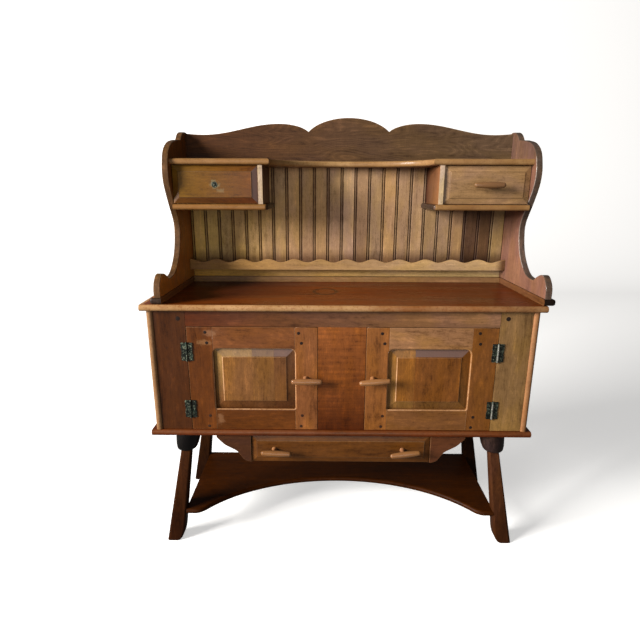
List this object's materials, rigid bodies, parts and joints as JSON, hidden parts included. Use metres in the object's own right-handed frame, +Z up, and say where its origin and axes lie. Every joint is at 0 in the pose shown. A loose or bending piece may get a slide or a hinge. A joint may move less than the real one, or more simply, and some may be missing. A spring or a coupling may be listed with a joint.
{
  "type": "bakers cabinet",
  "caption": "Maple bakers cabinet: hutch top with scrolled sides and beadboard back over a panelled case with doors and drawers, on splayed tapered legs with a lower shelf.",
  "frame": {"origin": "on the floor under the middle of the whole cabinet's bounding box", "axes": "+X to the right as seen from the front, +Y from the doors towards the wall, +Z up"},
  "size_m": [1.241, 0.4454, 1.408],
  "materials": {
    "case": "orange-brown stained maple, semi-gloss",
    "door": "orange-brown stained maple, semi-gloss",
    "counter": "red-brown stained maple, semi-gloss",
    "hutch": "brown stained maple, satin",
    "bead": "golden brown maple, satin",
    "crest": "dark walnut brown, satin",
    "leg": "dark brown stained maple, semi-gloss",
    "socket": "nearly black turned wood, semi-gloss",
    "pull": "light polished maple",
    "inside": "bare maple",
    "bronze": "dark green-brown bronzed iron"
  },
  "bodies": {
    "case": {"counter_top": "counter", "case_bottom": "case", "case_side_left": "case", "case_side_right": "case", "case_back": "inside", "face_stile_left": "case", "face_stile_right": "case", "face_top_rail": "case", "face_centre_panel": "case", "left_frame_hinge_lower": "bronze", "left_frame_hinge_upper": "bronze", "right_frame_hinge_lower": "bronze", "right_frame_hinge_upper": "bronze", "leg_front_left": "leg", "leg_front_right": "leg", "leg_rear_left": "leg", "leg_rear_right": "leg", "socket_front_left": "socket", "socket_front_right": "socket", "socket_rear_left": "socket", "socket_rear_right": "socket", "lower_shelf": "leg", "runner_left": "inside", "runner_right": "inside", "bracket_left": "case", "bracket_right": "case", "hutch_side_left": "hutch", "hutch_side_right": "hutch", "hutch_base_frame": "hutch", "riser_board": "bead", "spice_ledge": "bead", "scalloped_rail": "bead", "beadboard_back": "bead", "crest_board": "crest", "top_shelf": "hutch", "drawer_board_left": "hutch", "drawer_board_right": "hutch", "divider_left": "hutch", "divider_right": "hutch"},
    "left_door": {"left_door_frame": "door", "left_door_panel": "door", "left_door_hinge_lower": "bronze", "left_door_hinge_upper": "bronze"},
    "right_door": {"right_door_frame": "door", "right_door_panel": "door", "right_door_hinge_lower": "bronze", "right_door_hinge_upper": "bronze"},
    "left_latch": {"left_latch_handle": "pull", "left_latch_tongue": "inside"},
    "right_latch": {"right_latch_handle": "pull", "right_latch_tongue": "inside"},
    "lower_drawer": {"lower_drawer_front": "case", "lower_drawer_box": "inside", "lower_drawer_pull_left": "pull", "lower_drawer_pull_right": "pull"},
    "upper_left_drawer": {"upper_left_drawer_front": "hutch", "upper_left_drawer_box": "inside"},
    "upper_right_drawer": {"upper_right_drawer_front": "hutch", "upper_right_drawer_box": "inside", "upper_right_pull": "pull"}
  },
  "joints": [
    {"name": "left_door_hinge", "type": "hinge", "parent": "case", "child": "left_door", "pos_m": [-0.4895, -0.1908, 0.4215], "axis": [0, 0, -1], "range_deg": [0, 160]},
    {"name": "right_door_hinge", "type": "hinge", "parent": "case", "child": "right_door", "pos_m": [0.4685, -0.1908, 0.4215], "axis": [0, 0, 1], "range_deg": [0, 160]},
    {"name": "left_latch_turn", "type": "hinge", "parent": "left_door", "child": "left_latch", "pos_m": [-0.1225, -0.1873, 0.597], "axis": [0, -1, 0], "range_deg": [0, 90]},
    {"name": "right_latch_turn", "type": "hinge", "parent": "right_door", "child": "right_latch", "pos_m": [0.0875, -0.1873, 0.597], "axis": [0, 1, 0], "range_deg": [0, 90]},
    {"name": "lower_drawer_slide", "type": "slide", "parent": "case", "child": "lower_drawer", "axis": [0, -1, 0], "range_m": [0, 0.25]},
    {"name": "upper_left_drawer_slide", "type": "slide", "parent": "case", "child": "upper_left_drawer", "axis": [0, -1, 0], "range_m": [0, 0.14]},
    {"name": "upper_right_drawer_slide", "type": "slide", "parent": "case", "child": "upper_right_drawer", "axis": [0, -1, 0], "range_m": [0, 0.14]}
  ]
}
